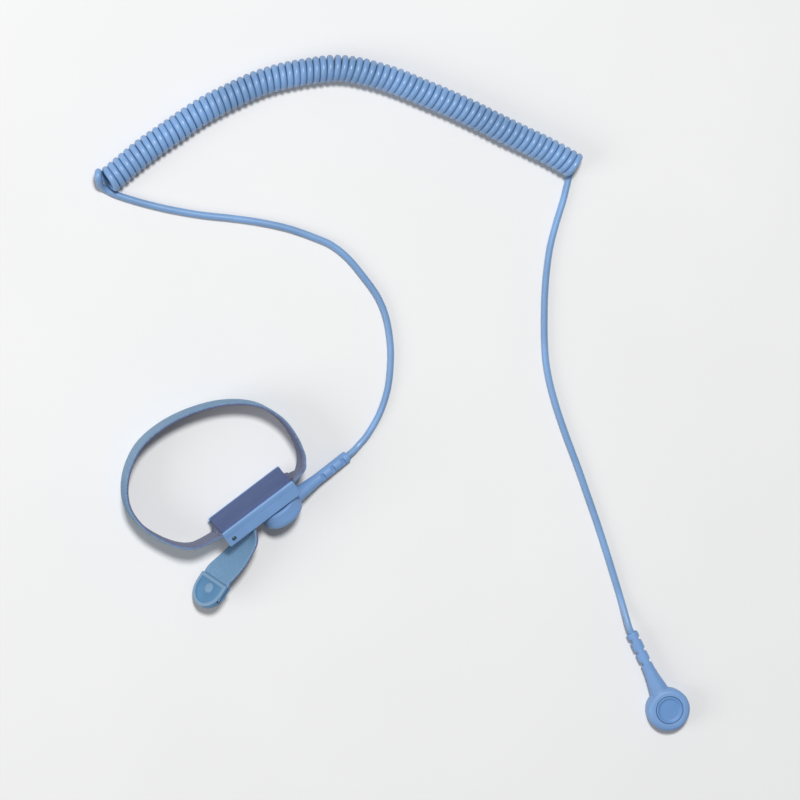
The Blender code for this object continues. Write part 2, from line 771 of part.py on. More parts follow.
def main():
    clear_scene()
    parts = {
        "plastic": material("blue_moulding", (109, 146, 192), 0.45),
        "trim": material("blue_trim", (98, 138, 180), 0.4),
        "webbing": material("elastic_webbing", (104, 136, 166), 0.9),
        "cord": material("cord_jacket", (120, 160, 207), 0.4),
        "plate": material("wrist_plate", (85, 102, 145), 0.35, 0.4),
        "steel": material("spring_steel", (150, 152, 156), 0.3, 1.0),
        "nickel": material("nickel_plate", (176, 176, 172), 0.25, 1.0),
        "copper": material("tinsel_copper", (176, 112, 74), 0.35, 1.0),
        "resistor": material("resistor_body", (196, 176, 138), 0.5),
    }
    cord_set = add_empty("cord_set", Matrix.Identity(4))
    snap = add_empty("snap_axis", scaled(SNAP), cord_set)
    wristband = add_empty("wristband", scaled(BUCKLE), snap)
    latch = add_empty("latch_axis", scaled(LATCH), wristband)
    wrist_plug = add_empty("wrist_plug", scaled(WRIST_PLUG), cord_set)
    ground_plug = add_empty("ground_plug", scaled(GROUND_PLUG), cord_set)
    make_band(wristband, parts)
    make_buckle(wristband, snap, parts)
    make_latch(latch, parts)
    make_wrist_plug(wrist_plug, snap, parts)
    make_ground_plug(ground_plug, parts)
    make_cord(cord_set, parts)


main()
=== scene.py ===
"""Looks of an anti-static wrist strap: knitted band, moulded plugs and buckle, curly cord, snaps.

Shapes are made in millimetres and turned into metres when they are placed. Places come from the
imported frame; the cord's and the band's routes repeat those of the part's own solids.
"""

import json
import math

import bmesh
import bpy
from mathutils import Matrix, Vector


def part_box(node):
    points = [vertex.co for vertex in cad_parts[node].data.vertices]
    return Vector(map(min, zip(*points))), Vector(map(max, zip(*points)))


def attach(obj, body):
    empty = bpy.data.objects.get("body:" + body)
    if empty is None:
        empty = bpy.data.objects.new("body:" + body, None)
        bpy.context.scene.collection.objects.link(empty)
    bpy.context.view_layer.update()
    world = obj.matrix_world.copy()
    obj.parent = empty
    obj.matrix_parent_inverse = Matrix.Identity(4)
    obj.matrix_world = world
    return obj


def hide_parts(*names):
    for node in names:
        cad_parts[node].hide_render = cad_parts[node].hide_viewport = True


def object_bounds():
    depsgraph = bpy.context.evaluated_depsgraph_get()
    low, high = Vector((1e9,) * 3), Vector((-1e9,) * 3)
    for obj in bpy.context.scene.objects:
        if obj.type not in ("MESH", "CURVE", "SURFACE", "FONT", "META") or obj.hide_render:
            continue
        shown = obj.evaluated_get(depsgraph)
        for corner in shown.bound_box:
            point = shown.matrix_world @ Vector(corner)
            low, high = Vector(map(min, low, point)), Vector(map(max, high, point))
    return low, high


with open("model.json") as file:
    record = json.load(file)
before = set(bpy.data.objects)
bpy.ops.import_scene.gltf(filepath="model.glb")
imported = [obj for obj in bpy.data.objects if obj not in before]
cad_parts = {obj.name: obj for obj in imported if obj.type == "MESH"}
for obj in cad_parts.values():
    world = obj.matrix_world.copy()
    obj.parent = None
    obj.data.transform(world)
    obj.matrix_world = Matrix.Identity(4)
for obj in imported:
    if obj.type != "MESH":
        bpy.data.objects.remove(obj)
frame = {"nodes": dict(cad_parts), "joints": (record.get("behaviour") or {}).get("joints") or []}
cad_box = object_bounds()

MM = 0.001
JOINTS = {joint["name"]: joint for joint in frame["joints"]}

# ------------------------------------------------ sizes in millimetres, angles in degrees
BAND_WIDTH = 15.0
BAND_THICK = 1.3
BUCKLE_LENGTH = 34.0
BUCKLE_THICK = 7.0
BUCKLE_WALL = 0.8
BUCKLE_FACE = 1.2
GROOVE = (1.1, 1.36)
GROOVE_DEPTH = 0.16
WELD_INSET = 1.9
CHANNEL_HALF = BAND_WIDTH / 2 + 0.3
BUCKLE_HALF = CHANNEL_HALF + BUCKLE_WALL
PLATE_THICK = 0.5
BAND_LINE = 2.05
SLOT_LEFT = -7.0
SLOT_RIGHT = -3.9
LATCH_PIN = (-14.0, -1.2)
LATCH_BORE = 0.95
CAM_RADIUS = 2.3
LEVER_REACH = 6.8
LEVER_HALF = 6.2
LEVER_TOP = 2.2
LEVER_PLATE = 1.0
CAM_TEETH = 12
TOOTH_DEPTH = 0.3
RIDGE_PITCH = 0.9
ANCHOR_PIN = (14.2, 0.35)
WRAP_RADIUS = 1.6
STUD_HOLE = 1.3
WASHER_RECESS = 3.8
WASHER_DEPTH = 0.4
STUD_X = 7.4
STUD_TURN = 9.6
PLUG_OFFSET = BUCKLE_THICK / 2 + 0.9
PLUG_RADIUS = 8.5
PLUG_HEIGHT = 6.9
POCKET_RADIUS = 6.3
POCKET_DEPTH = 4.9
CAP_RADIUS = 5.3
SEAT_RADIUS = CAP_RADIUS + 0.12
SEAT_FLOOR = POCKET_DEPTH + 0.7
BOOT_LENGTH = 34.0
BOOT_LINE = 3.5
BOOT_HALF = 2.25
BOOT_ROOT = 6.0
WRIST_BOOT_SLOPE = 0.08
NOTCH_PLACES = (20.9, 25.9, 30.9)
NOTCH_WIDTH = 1.5
CORE_HALF = 1.3
# (start, end, radius) of the bore along a boot: for the resistor, its wire and the cord.
BOOT_BORES = ((5.0, 19.6, 1.55), (19.0, 33.0, 1.05), (32.6, 36.0, 1.36))
PLUG_VOXEL = 0.15
PLUG_FACES_KEPT = 0.35
PLUG_SMOOTH = 50
WRIST_SOCKET = (3.3, 1.0, 0.75)  # radius, mouth's height, flange's height
GROUND_SOCKET = (5.05, 0.55, 0.5)
SOCKET_FLANGE = 6.0
SPRING_WIRE = 0.5
WRIST_RING = (2.6, 1.9)  # radius and height of the wire's middle
GROUND_RING = (4.45, 1.8)
CORD_DIAMETER = 2.6
CORD_LINE = CORD_DIAMETER / 2 + 0.1
COIL_DIAMETER = 10.6
COIL_LINE = COIL_DIAMETER / 2 + 0.1
COIL_RADIUS = (COIL_DIAMETER - CORD_DIAMETER) / 2
COIL_TURNS = 76
POINTS_PER_TURN = 28
CORD_SPACING = 0.8  # between the points of its middle line
TIP_END = (-15.1, -39.1, 7.3)
TIP_HEADING = -123.0
TIP_LEAN = 36.0
TIP_LENGTH = 12.0
TIP_HALF = 7.8
TIP_THICK = 2.9
TIP_GRIP = 7.0
TIP_RIM = 1.5
TIP_PANEL_DEPTH = 0.4
TIP_SLOT_GAP = 0.12
RIVET_X = -7.8
RIVET_RADIUS = 1.2
WALES = 14
POINTS_PER_WALE = 4
KNIT_DEPTH = 0.1
COURSE = 1.5  # length of one knitted course along the band
SELVEDGE = 0.5
RING_SPACING = 0.375  # between the rings of points along the band
SPAN_STEPS = 24  # points of a smooth curve for each span of its route

CAMERA_PLACE = (-0.2613, 0.1922, 1.8)  # metres
FRAME_SHARE = 0.86  # part of the picture's width that the strap takes

LOOP_LIFT = {0: 2.9, 1: 1.0, 2: 0.2, 3: 0.03}
LOOP_ROUTE = (
    (23.5, 14.0),
    (23.9, 19.4),
    (21.4, 26.0),
    (15.8, 33.2),
    (6.9, 38.3),
    (-5.0, 39.2),
    (-17.5, 36.4),
    (-29.4, 30.8),
    (-38.7, 22.6),
    (-43.5, 11.6),
    (-43.2, 0.8),
    (-37.3, -7.9),
    (-27.2, -14.0),
    (-18.3, -15.4),
)
TAIL_ROUTE = (
    (3.7, -12.5, 8.9, 20),
    (1.2, -17.4, 8.4, 25),
    (-2.5, -22.1, 8.0, 31),
)
WRIST_LEAD_ROUTE = (
    (47.9, 21.3, CORD_LINE),
    (51.6, 25.7, CORD_LINE),
    (56.3, 33.9, CORD_LINE),
    (59.4, 43.5, CORD_LINE),
    (60.5, 54.0, CORD_LINE),
    (60.2, 62.3, CORD_LINE),
    (58.5, 71.4, CORD_LINE),
    (55.1, 79.3, CORD_LINE),
    (49.4, 87.2, CORD_LINE),
    (43.7, 93.9, CORD_LINE),
    (37.9, 98.6, CORD_LINE),
    (32.3, 101.3, CORD_LINE),
    (21.2, 105.3, CORD_LINE),
    (9.9, 107.9, CORD_LINE),
    (-1.4, 109.6, CORD_LINE),
    (-12.7, 110.9, CORD_LINE),
    (-24.0, 112.9, CORD_LINE),
    (-33.0, 115.0, CORD_LINE),
    (-41.0, 117.3, CORD_LINE),
    (-46.5, 119.2, CORD_LINE),
    (-49.4, 120.7, CORD_LINE),
    (-51.3, 121.9, 2.6),
    (-52.4, 122.8, 4.4),
    (-53.0, 123.8, 6.1),
)
# The lead's last bend, over and down beside the coil, to become the first turn under it.
COIL_HOOK = (
    (-53.4, 125.1, 7.6),
    (-53.6, 125.9, 8.2),
    (-53.7, 126.7, 8.2),
    (-53.6, 127.4, 7.8),
    (-53.5, 127.8, 7.1),
    (-53.3, 127.9, 6.3),
    (-53.0, 127.6, 5.1),
    (-52.4, 127.1, 3.8),
    (-51.6, 126.3, 2.6),
    (-50.6, 125.3, 1.8),
)
COIL_ROUTE = (
    (-49.5, 124.3),
    (-36.0, 135.3),
    (-24.7, 143.1),
    (-13.5, 150.5),
    (-2.2, 156.4),
    (9.1, 161.4),
    (20.4, 164.5),
    (31.6, 166.3),
    (39.5, 166.9),
    (48.5, 165.7),
    (59.8, 162.6),
    (71.0, 158.2),
    (88.0, 151.0),
    (104.8, 142.8),
    (121.8, 134.7),
    (132.6, 128.7),
)
GROUND_LEAD_ROUTE = (
    (130.7, 124.1, CORD_LINE),
    (130.3, 122.2, CORD_LINE),
    (129.7, 120.0, CORD_LINE),
    (128.5, 115.3, CORD_LINE),
    (125.7, 106.3, CORD_LINE),
    (123.4, 97.3, CORD_LINE),
    (122.1, 88.2, CORD_LINE),
    (121.4, 79.2, CORD_LINE),
    (121.2, 70.1, CORD_LINE),
    (121.3, 61.1, CORD_LINE),
    (122.0, 52.1, CORD_LINE),
    (123.8, 43.0, CORD_LINE),
    (126.8, 32.8, CORD_LINE),
    (130.6, 22.1, CORD_LINE),
    (134.7, 11.4, CORD_LINE),
    (138.7, 0.1, CORD_LINE),
    (142.7, -11.2, CORD_LINE),
    (146.4, -22.5, CORD_LINE),
    (149.6, -32.7, CORD_LINE),
    (152.3, -41.5, CORD_LINE),
)


# ---------------------------------------------------------------- frames
def turn(axis, degrees):
    return Matrix.Rotation(math.radians(degrees), 4, axis)


def shift(x, y, z):
    return Matrix.Translation((x, y, z))


def buckle_placing():
    """The buckle's axes: x along it, y towards the wrist, z across the band."""
    inward = Vector(JOINTS["snap_release"]["axis"]).normalized()
    across = -Vector(JOINTS["latch_hinge"]["axis"]).normalized()
    along = inward.cross(across)
    snap = Vector(JOINTS["plug_swivel"]["pos_m"]) / MM
    made = Matrix((along, inward, across)).transposed().to_4x4()
    made.translation = snap - along * STUD_X
    return made


def middle(node):
    low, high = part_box(node)
    return (low + high) / 2 / MM


def ground_placing():
    head = middle("ground_plug_cap")
    towards = middle("ground_conductor") - head
    return shift(head.x, head.y, 0) @ turn("Z", math.degrees(math.atan2(towards.y, towards.x)))


BUCKLE = buckle_placing()
SNAP = BUCKLE @ shift(STUD_X, 0, 0) @ turn("X", 90)
LATCH = BUCKLE @ shift(*LATCH_PIN, 0)
WRIST_PLUG = SNAP @ shift(0, 0, PLUG_OFFSET) @ turn("Z", -STUD_TURN)
GROUND_PLUG = ground_placing()
TIP = shift(*TIP_END) @ turn("Z", TIP_HEADING) @ turn("X", -TIP_LEAN)


# ---------------------------------------------------------------- materials
def linear(red, green, blue):
    """Linear colour from 0 to 255 screen values."""
    return tuple(((value / 255 + 0.055) / 1.055) ** 2.4 for value in (red, green, blue)) + (1.0,)


def shaded(rgb, share):
    """Linear colour of a screen colour, made darker or lighter."""
    return linear(*(min(255, value * share) for value in rgb))


class Shader:
    """A Principled material and short ways to add nodes to it."""

    def __init__(self, name, rgb, roughness, metallic=0.0, **constants):
        self.material = bpy.data.materials.new(name)
        self.material.use_nodes = True
        self.tree = self.material.node_tree
        self.principled = self.tree.nodes["Principled BSDF"]
        self.rgb = rgb
        self.set("Base Color", linear(*rgb))
        self.set("Roughness", roughness)
        self.set("Metallic", metallic)
        for socket, value in constants.items():
            self.set(socket.replace("_", " "), value)

    def set(self, socket, value):
        target = self.principled.inputs[socket]
        if isinstance(value, bpy.types.NodeSocket):
            self.tree.links.new(value, target)
        else:
            target.default_value = value

    def node(self, kind, inputs=None, **settings):
        made = self.tree.nodes.new("ShaderNode" + kind)
        for key, value in settings.items():
            setattr(made, key, value)
        for key, value in (inputs or {}).items():
            if isinstance(value, bpy.types.NodeSocket):
                self.tree.links.new(value, made.inputs[key])
            else:
                made.inputs[key].default_value = value
        return made

    def place(self, stretch=(1, 1, 1)):
        """The piece's own coordinates, in metres, stretched."""
        coordinates = self.node("TexCoord").outputs["Object"]
        if stretch == (1, 1, 1):
            return coordinates
        return self.node("Mapping", {"Vector": coordinates, "Scale": stretch}).outputs["Vector"]

    def noise(self, where, scale, detail=3.0, rough=0.5):
        inputs = {"Vector": where, "Scale": scale, "Detail": detail, "Roughness": rough}
        return self.node("TexNoise", inputs).outputs["Fac"]

    def math(self, operation, first, second=0.0, third=0.0):
        made = self.node("Math", {0: first, 1: second, 2: third}, operation=operation)
        return made.outputs["Value"]

    def spread(self, value, low, high, from_low=0.0, from_high=1.0):
        names = {"From Min": from_low, "From Max": from_high, "To Min": low, "To Max": high}
        return self.node("MapRange", {"Value": value, **names}).outputs["Result"]

    def mix(self, amount, first, second):
        made = self.node("Mix", {"Factor": amount}, data_type="RGBA")
        for place, colour in ((6, first), (7, second)):
            if isinstance(colour, bpy.types.NodeSocket):
                self.tree.links.new(colour, made.inputs[place])
            else:
                made.inputs[place].default_value = colour
        return made.outputs[2]

    def bump(self, height, strength, depth_mm, under=None):
        inputs = {"Height": height, "Strength": strength, "Distance": depth_mm * MM}
        if under:
            inputs["Normal"] = under
        return self.node("Bump", inputs).outputs["Normal"]

    def shades(self, darker, lighter, amount):
        """Base colour that wanders between a darker and a lighter shade of the material's own."""
        ends = [shaded(self.rgb, share) for share in (darker, lighter)]
        self.set("Base Color", self.mix(amount, *ends))


def moulded(name, rgb):
    """Soft blue plastic with a spark-eroded grain, faint flow marks and handling scuffs."""
    roughness = 0.46
    coat = {"Coat_Weight": 0.05, "Coat_Roughness": 0.3}
    made = Shader(name, rgb, roughness, Specular_IOR_Level=0.45, **coat)
    where = made.place()
    flow = made.noise(where, 70, 4)
    made.shades(0.96, 1.04, made.spread(flow, 0, 1, 0.3, 0.7))
    scuffs = made.noise(where, 420, 6, 0.7)
    made.set("Roughness", made.spread(scuffs, roughness - 0.05, roughness + 0.09, 0.3, 0.7))
    eroded = made.noise(where, 2600, 2)
    waves = made.noise(where, 260, 2)
    made.set("Normal", made.bump(eroded, 0.35, 0.03, made.bump(waves, 0.15, 0.04)))
    return made.material


def tongue(name, rgb, rim):
    """The stiff tip's plastic, with a painted highlight that makes its raised rim lighter than its
    sunk panel.
    """
    made = Shader(name, rgb, 0.42, Specular_IOR_Level=0.45)
    where = made.place()
    from_middle = made.math("ABSOLUTE", made.node("SeparateXYZ", {"Vector": where}).outputs["Y"])
    wear_and_highlight_noise = made.noise(where, 500, 5, 0.7)
    ragged = made.math("MULTIPLY_ADD", wear_and_highlight_noise, 0.2 * MM, from_middle)
    # Painted highlight: the raised rim's faces get the lighter rim colour, with a ragged edge.
    rim_highlight_mask = made.spread(ragged, 0, 1, 1.28 * MM, 1.5 * MM)
    cloud = made.spread(made.noise(where, 160, 4), 0, 1, 0.3, 0.7)
    mottled = made.mix(cloud, shaded(rgb, 0.94), shaded(rgb, 1.05))
    made.set("Base Color", made.mix(rim_highlight_mask, mottled, linear(*rim)))
    made.set("Roughness", made.spread(wear_and_highlight_noise, 0.36, 0.52, 0.3, 0.7))
    made.set("Normal", made.bump(made.noise(where, 2200, 2), 0.4, 0.03))
    return made.material


def jacket(name, rgb):
    """Extruded polyurethane: smooth, slightly waxy, with a soft highlight."""
    made = Shader(name, rgb, 0.36, Specular_IOR_Level=0.5, Coat_Weight=0.12, Coat_Roughness=0.25)
    where = made.place()
    bloom = made.noise(where, 45, 3)
    made.shades(0.95, 1.05, made.spread(bloom, 0, 1, 0.35, 0.65))
    made.set("Roughness", made.spread(made.noise(where, 500, 4), 0.3, 0.44, 0.3, 0.7))
    skin = made.noise(where, 1400, 3)
    made.set("Normal", made.bump(skin, 0.12, 0.03))
    return made.material


def webbing(name, outer, inner):
    """Knitted elastic: wales along the band, courses across it, silver yarn on its wrist side."""
    made = Shader(name, outer, 0.85, Specular_IOR_Level=0.2, Sheen_Weight=0.1, Sheen_Roughness=0.4)
    along = made.node("Attribute", attribute_name="along").outputs["Fac"]
    across = made.node("Attribute", attribute_name="across").outputs["Fac"]
    wrist_side = made.node("Attribute", attribute_name="wrist_side").outputs["Fac"]
    flat = made.node("CombineXYZ", {"X": along, "Y": across}).outputs["Vector"]
    yarn = made.noise(flat, 2.2, 5, 0.6)
    strand = 0.35  # millimetres from one strand to the next
    lean = made.math("MULTIPLY", across, 9)
    strands = made.math("SINE", made.math("MULTIPLY_ADD", along, math.tau / strand, lean))
    patches = made.spread(yarn, 0, 1, 0.3, 0.7)
    outside = made.mix(patches, shaded(outer, 0.86), shaded(outer, 1.1))
    inside = made.mix(patches, shaded(inner, 0.84), shaded(inner, 1.12))
    # Every fourth wale of the wrist side is silver-plated yarn.
    wale = made.math("FRACT", made.math("MULTIPLY", across, 0.25))
    silver = made.math("MULTIPLY", made.math("LESS_THAN", wale, 0.25), wrist_side)
    fabric = made.mix(wrist_side, outside, inside)
    plating = made.math("MULTIPLY", silver, 0.7)
    made.set("Base Color", made.mix(plating, fabric, linear(150, 150, 158)))
    made.set("Metallic", made.math("MULTIPLY", silver, 0.5))
    made.set("Roughness", made.spread(yarn, 0.7, 0.95, 0.2, 0.8))
    fibres = made.math("ADD", strands, made.math("MULTIPLY", yarn, 2.0))
    made.set("Normal", made.bump(fibres, 0.5, 0.05))
    return made.material


def plated(name, rgb, roughness):
    """Bright plate with faint drawing marks and fingerprints."""
    made = Shader(name, rgb, roughness, 1.0)
    where = made.place()
    haze = made.noise(where, 350, 5, 0.65)
    made.shades(0.88, 1.04, made.spread(haze, 0, 1, 0.3, 0.7))
    made.set("Roughness", made.spread(haze, roughness - 0.06, roughness + 0.14, 0.25, 0.75))
    made.set("Normal", made.bump(made.noise(where, 1500, 3), 0.1, 0.02))
    return made.material


def brushed(name, rgb, roughness, stretch, metallic=1.0):
    """Metal brushed along the axis that stretch makes long."""
    made = Shader(name, rgb, roughness, metallic)
    lines = made.noise(made.place(stretch), 1, 6, 0.7)
    smear = made.noise(made.place(), 150, 3)
    made.shades(0.9, 1.08, made.spread(lines, 0, 1, 0.3, 0.7))
    polish = made.spread(lines, roughness - 0.12, roughness + 0.08)
    made.set("Roughness", made.math("MULTIPLY_ADD", smear, 0.15, polish))
    made.set("Normal", made.bump(lines, 0.25, 0.02))
    return made.material


def lacquered(name, rgb):
    """Plain resistor lacquer, faintly speckled."""
    made = Shader(name, rgb, 0.35, Coat_Weight=0.3, Coat_Roughness=0.15)
    speckle = made.noise(made.place(), 900, 3)
    made.shades(0.92, 1.06, made.spread(speckle, 0, 1, 0.3, 0.7))
    made.set("Normal", made.bump(speckle, 0.15, 0.03))
    return made.material


def floor_finish(name, rgb):
    """Matt sheet with a trace of unevenness."""
    made = Shader(name, rgb, 0.7)
    made.shades(0.985, 1.01, made.noise(made.place(), 12, 4))
    made.set("Normal", made.bump(made.noise(made.place(), 900, 3), 0.08, 0.05))
    return made.material


FINISH = {
    "blue_moulding": moulded("moulding", (114, 152, 200)),
    # The tip's second colour is the painted highlight on its raised rim.
    "blue_trim": tongue("trim", (84, 130, 168), (118, 150, 178)),
    "elastic_webbing": webbing("webbing", (114, 150, 182), (104, 113, 146)),
    "cord_jacket": jacket("jacket", (119, 156, 200)),
    # The plate's dark slate blue is partly its tinted metal and partly painted shade and reflection
    # of a dark surround.
    "wrist_plate": brushed("plate", (82, 100, 147), 0.46, (18, 1600, 1600), 0.3),
    "spring_steel": plated("spring_wire", (150, 152, 156), 0.24),
    "nickel_plate": plated("nickel", (184, 183, 178), 0.2),
    "tinsel_copper": brushed("tinsel", (184, 118, 78), 0.35, (900, 900, 900)),
    "resistor_body": lacquered("lacquer", (196, 176, 138)),
}


# ---------------------------------------------------------------- mesh helpers, in millimetres
def skinned(bm, rings):
    """Closed skin over rings with the same number of vertices."""
    count = len(rings[0])
    for ring, following in zip(rings, rings[1:]):
        for i in range(count):
            after = (i + 1) % count
            bm.faces.new((ring[i], ring[after], following[after], following[i]))
    bm.faces.new(rings[0][::-1])
    bm.faces.new(rings[-1])
    return facing_out(bm)


def loft(rings):
    bm = bmesh.new()
    return skinned(bm, [[bm.verts.new(point) for point in ring] for ring in rings])


def facing_out(bm):
    if bm.calc_volume(signed=True) < 0:
        bmesh.ops.reverse_faces(bm, faces=bm.faces)
    return bm


def turned(outline, steps=96):
    """Solid of revolution about z. Its (radius, height) points run from axis to axis, or close."""
    bm = bmesh.new()
    points = [bm.verts.new((radius, 0, height)) for radius, height in outline]
    edges = [bm.edges.new(pair) for pair in zip(points, points[1:])]
    if outline[0][0] > 0:
        edges.append(bm.edges.new((points[-1], points[0])))
    bmesh.ops.spin(
        bm, geom=points + edges, cent=(0, 0, 0), axis=(0, 0, 1), angle=math.tau, steps=steps
    )
    bmesh.ops.remove_doubles(bm, verts=bm.verts, dist=0.0005)
    return facing_out(bm)


def rounded(outline, radius):
    """The outline with its corners eased, apart from its two ends and those on the axis."""
    steps = 4
    made = []
    for i, point in enumerate(outline):
        here = Vector(point)
        if point[0] == 0 or i in (0, len(outline) - 1):
            made.append(tuple(here))
            continue
        before, after = Vector(outline[i - 1]) - here, Vector(outline[i + 1]) - here
        ease = min(radius, before.length * 0.45, after.length * 0.45)
        start, end = here + before.normalized() * ease, here + after.normalized() * ease
        for step in range(steps + 1):
            t = step / steps
            made.append(tuple(start * (1 - t) ** 2 + here * 2 * t * (1 - t) + end * t**2))
    return made


def block(low, high):
    bm = bmesh.new()
    size = [b - a for a, b in zip(low, high)]
    centre = [(a + b) / 2 for a, b in zip(low, high)]
    bmesh.ops.create_cube(bm, size=1, matrix=shift(*centre) @ Matrix.Diagonal((*size, 1)))
    return bm


def rod(start, end, radius, steps=48):
    bm = bmesh.new()
    along = Vector(end) - Vector(start)
    direction = Vector((0, 0, 1)).rotation_difference(along).to_matrix().to_4x4()
    place = Matrix.Translation((Vector(start) + Vector(end)) / 2) @ direction
    bmesh.ops.create_cone(
        bm,
        cap_ends=True,
        segments=steps,
        radius1=radius,
        radius2=radius,
        depth=along.length,
        matrix=place,
    )
    return bm


def prism(outline, low, high):
    return loft([[(x, y, height) for x, y in outline] for height in (low, high)])


def moved(bm, *matrices):
    for matrix in matrices:
        bm.transform(matrix)
    return bm


def through(points, per_span=SPAN_STEPS):
    """Smooth curve through points of any dimension, as closely spaced points."""
    ends = [points[0] * 2 - points[1], *points, points[-1] * 2 - points[-2]]
    curve = []
    for before, start, end, after in zip(ends, ends[1:], ends[2:], ends[3:]):
        for step in range(per_span):
            t = step / per_span
            curve.append(
                (
                    start * 2
                    + (end - before) * t
                    + (before * 2 - start * 5 + end * 4 - after) * t**2
                    + (start * 3 - before - end * 3 + after) * t**3
                )
                / 2
            )
    curve.append(points[-1])
    return curve


def running_lengths(curve):
    """Length of the curve up to each of its points."""
    lengths = [0.0]
    for a, b in zip(curve, curve[1:]):
        lengths.append(lengths[-1] + (b - a).length)
    return lengths


def even_steps(lengths, spacing):
    """(distance, point passed, share of the way to the next) at one spacing, from end to end."""
    count = max(1, round(lengths[-1] / spacing))
    place = 0
    for step in range(count + 1):
        wanted = lengths[-1] * step / count
        while place < len(lengths) - 2 and lengths[place + 1] < wanted:
            place += 1
        yield wanted, place, (wanted - lengths[place]) / (lengths[place + 1] - lengths[place])


def evenly(curve, spacing):
    """Points at one spacing along a closely spaced curve, with both of its ends."""
    steps = even_steps(running_lengths(curve), spacing)
    return [curve[place].lerp(curve[place + 1], part) for _, place, part in steps]


def working(bm):
    """A scratch object holding the shape, in millimetres."""
    mesh = bpy.data.meshes.new("work")
    bm.to_mesh(mesh)
    bm.free()
    obj = bpy.data.objects.new("work", mesh)
    bpy.context.scene.collection.objects.link(obj)
    return obj


def changed(obj, kind, **settings):
    """The object with one modifier applied to its mesh."""
    modifier = obj.modifiers.new(kind.lower(), kind)
    for key, value in settings.items():
        setattr(modifier, key, value)
    graph = bpy.context.evaluated_depsgraph_get()
    mesh = bpy.data.meshes.new_from_object(obj.evaluated_get(graph))
    obj.modifiers.clear()
    old, obj.data = obj.data, mesh
    bpy.data.meshes.remove(old)
    return obj


def softened(obj, width, segments, above):
    """Eases the edges whose faces turn by more than this many degrees."""
    limit = math.radians(above)
    return changed(
        obj, "BEVEL", width=width, segments=segments, limit_method="ANGLE", angle_limit=limit
    )


def carved(obj, bm, operation="DIFFERENCE"):
    other = working(bm)
    changed(obj, "BOOLEAN", operation=operation, object=other)
    bpy.data.objects.remove(other, do_unlink=True)
    return obj


def placed(name, obj, matrix, slot, body, nodes=(), smooth=35, flat=False, finish=None):
    """Names and finishes a piece made in millimetres, and puts it on its body for its CAD nodes.

    A piece with flat faces keeps them flat between its eased edges. Its finish is its slot's,
    or its own.
    """
    obj.data.shade_smooth()
    obj.data.set_sharp_from_angle(angle=math.radians(smooth))
    if flat:
        changed(obj, "WEIGHTED_NORMAL", keep_sharp=True, weight=100)
    mesh = obj.data
    mesh.transform(Matrix.Scale(MM, 4))
    mesh.name = obj.name = name
    mesh.materials.clear()
    mesh.materials.append(finish or FINISH[slot])
    place = matrix.copy()
    place.translation = matrix.translation * MM
    obj.matrix_world = place
    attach(obj, body)
    if nodes:
        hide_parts(*nodes)
    return obj


def wire(name, points, diameter, slot, body, nodes, sides):
    """Round wire or cord along points in millimetres of the row frame."""
    data = bpy.data.curves.new(name, "CURVE")
    data.dimensions = "3D"
    data.bevel_depth = diameter / 2 * MM
    data.bevel_resolution = sides
    data.use_fill_caps = True
    spline = data.splines.new("POLY")
    spline.points.add(len(points) - 1)
    for point, place in zip(spline.points, points):
        point.co = (*(place * MM), 1)
    spline.use_smooth = True
    obj = bpy.data.objects.new(name, data)
    bpy.context.scene.collection.objects.link(obj)
    data.materials.append(FINISH[slot])
    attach(obj, body)
    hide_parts(*nodes)
    return obj


# ---------------------------------------------------------------- camera
def make_camera():
    """Camera 1.8 m over the middle of the bench mat, turned to the strap with a long lens."""
    low, high = cad_box
    target = (low + high) / 2
    place = Vector(CAMERA_PLACE)
    forward = (target - place).normalized()
    up = Vector((0, 1, 0))
    up = (up - forward * up.dot(forward)).normalized()
    right = forward.cross(up)
    matrix = Matrix((right, up, -forward)).transposed().to_4x4()
    matrix.translation = place
    data = bpy.data.cameras.new("camera")
    span = max(high.x - low.x, high.y - low.y)
    data.lens = data.sensor_width / 2 / (span / FRAME_SHARE / 2 / (target - place).length)
    data.clip_start = 0.05
    data.clip_end = 20
    camera = bpy.data.objects.new("camera", data)
    camera.matrix_world = matrix
    bpy.context.scene.collection.objects.link(camera)
    bpy.context.scene.camera = camera


# ---------------------------------------------------------------- cord
def coil_points():
    """Left-handed turns round the coil's middle line. They start and end on the floor, under it."""
    line = through([Vector((x, y, COIL_LINE)) for x, y in COIL_ROUTE], 60)
    count = round(COIL_TURNS * POINTS_PER_TURN)
    centres = evenly(line, running_lengths(line)[-1] / count)
    points = []
    for i, centre in enumerate(centres):
        heading = (centres[min(i + 1, count)] - centres[max(i - 1, 0)]).normalized()
        left = Vector((-heading.y, heading.x, 0))
        angle = math.tau * COIL_TURNS * i / count
        # A winding that has been used is never quite even.
        wander = 0.03 * math.sin(angle / 7.3) + 0.02 * math.sin(angle / 3.1 + 1.0)
        radius = COIL_RADIUS - 0.03 + 0.03 * math.sin(angle / 5.7)
        around = left * -math.sin(angle) - Vector((0, 0, 1)) * math.cos(angle)
        points.append(centre + around * radius + heading * wander)
    return points


def lead_points(plug, slope, route):
    """The lead's own points, from inside its boot outwards."""
    end = Vector((BOOT_LENGTH, 0, BOOT_LINE + slope * (BOOT_LENGTH - BOOT_ROOT)))
    along = Vector((1, 0, slope)).normalized()
    exits = [plug @ (end + along * off) for off in (-1.1, 0.3, CORD_DIAMETER)]
    exits[2].z = max(exits[2].z, CORD_LINE)
    return exits + [Vector(point) for point in route]


